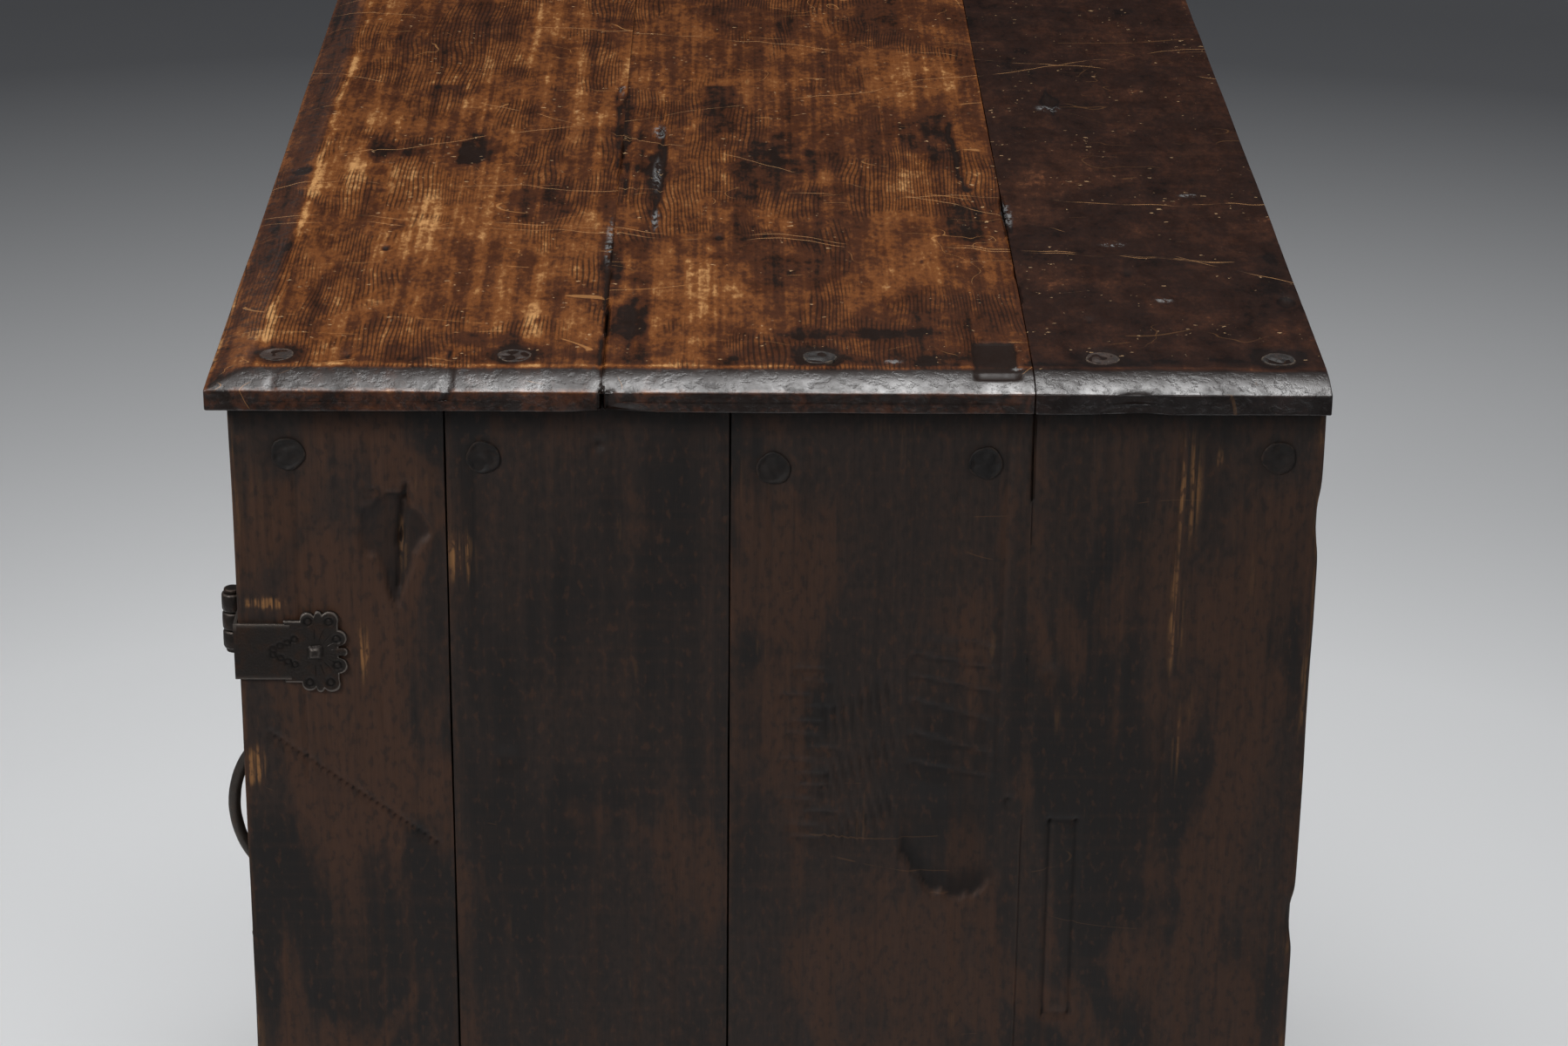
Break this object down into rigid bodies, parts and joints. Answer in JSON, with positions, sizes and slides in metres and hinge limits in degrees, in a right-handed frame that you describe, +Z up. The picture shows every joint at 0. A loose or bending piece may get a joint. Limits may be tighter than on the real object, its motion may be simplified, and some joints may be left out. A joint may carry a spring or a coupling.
{
  "type": "carved cupboard",
  "caption": "Low plank cupboard on plank feet, with a bevelled pegged top, carved framed doors on lobed strap hinges, a bow pull, a key lock and a shelf inside.",
  "frame": {"origin": "middle of the footprint box, on the floor", "axes": "+X to the cupboard's right end as seen in the picture, along its length; +Y to the back; +Z up"},
  "size_m": [0.98, 0.6, 0.87],
  "materials": {
    "waxed_walnut_top": "worn wax",
    "dark_walnut_ends": "dark stain, worn through at the edges",
    "carved_walnut": "dark wax",
    "rough_inner_walnut": "unfinished",
    "peg_wood": "dark wax",
    "forged_iron": "dark, worn at the edges"
  },
  "bodies": {
    "case": {"top_board_front": "waxed_walnut_top", "top_board_middle": "waxed_walnut_top", "top_board_rear": "waxed_walnut_top", "right_side_plank_1": "dark_walnut_ends", "right_side_plank_2": "dark_walnut_ends", "right_side_plank_3": "dark_walnut_ends", "right_side_plank_4": "dark_walnut_ends", "right_top_cleat": "rough_inner_walnut", "right_floor_cleat": "rough_inner_walnut", "right_shelf_cleat": "rough_inner_walnut", "left_side_plank_1": "dark_walnut_ends", "left_side_plank_2": "dark_walnut_ends", "left_side_plank_3": "dark_walnut_ends", "left_side_plank_4": "dark_walnut_ends", "left_top_cleat": "rough_inner_walnut", "left_floor_cleat": "rough_inner_walnut", "left_shelf_cleat": "rough_inner_walnut", "floor_board_front": "rough_inner_walnut", "floor_board_rear": "rough_inner_walnut", "shelf_board": "rough_inner_walnut", "back_top_rail": "rough_inner_walnut", "back_board_1": "rough_inner_walnut", "back_board_2": "rough_inner_walnut", "back_board_3": "rough_inner_walnut", "front_top_rail": "carved_walnut", "front_bottom_rail": "carved_walnut", "case_pegs": "peg_wood", "top_plugs": "peg_wood", "right_case_leaves": "forged_iron", "left_case_leaves": "forged_iron", "hinge_pins": "forged_iron", "case_nails": "forged_iron"},
    "right_door": {"right_hinge_stile": "carved_walnut", "right_meeting_stile": "carved_walnut", "right_upper_panel": "carved_walnut", "right_lower_panel": "carved_walnut", "right_door_top_rail": "carved_walnut", "right_door_mid_rail": "carved_walnut", "right_door_bottom_rail": "carved_walnut", "right_door_pegs": "peg_wood", "right_door_leaves": "forged_iron", "right_door_nails": "forged_iron", "door_handle": "forged_iron", "escutcheon": "forged_iron", "lock_stock": "rough_inner_walnut"},
    "left_door": {"left_hinge_stile": "carved_walnut", "left_meeting_stile": "carved_walnut", "left_upper_panel": "carved_walnut", "left_lower_panel": "carved_walnut", "left_door_top_rail": "carved_walnut", "left_door_mid_rail": "carved_walnut", "left_door_bottom_rail": "carved_walnut", "left_door_pegs": "peg_wood", "left_door_leaves": "forged_iron", "left_door_nails": "forged_iron", "bolt_staple": "forged_iron"},
    "key": {"key": "forged_iron"},
    "lock_bolt": {"lock_bolt": "forged_iron"},
    "turn_button": {"turn_button": "rough_inner_walnut"}
  },
  "joints": [
    {"name": "right_door_swing", "type": "hinge", "parent": "case", "child": "right_door", "pos_m": [0.438, -0.2375, 0.46725], "axis": [0, 0, 1], "range_deg": [0, 170]},
    {"name": "left_door_swing", "type": "hinge", "parent": "case", "child": "left_door", "pos_m": [-0.438, -0.2375, 0.46725], "axis": [0, 0, -1], "range_deg": [0, 170]},
    {"name": "key_turn", "type": "hinge", "parent": "right_door", "child": "key", "pos_m": [0.045, -0.231, 0.3269], "axis": [0, -1, 0], "range_deg": [0, 82]},
    {"name": "bolt_slide", "type": "slide", "parent": "right_door", "child": "lock_bolt", "axis": [-1, 0, 0], "range_m": [0, 0.01574]},
    {"name": "button_turn", "type": "hinge", "parent": "left_door", "child": "turn_button", "pos_m": [-0.0475, -0.203, 0.7575], "axis": [0, 1, 0], "range_deg": [0, 90]}
  ],
  "couplings": [
    {"joint": "key_turn", "follows": "bolt_slide", "rad_per_m": 90.899}
  ]
}
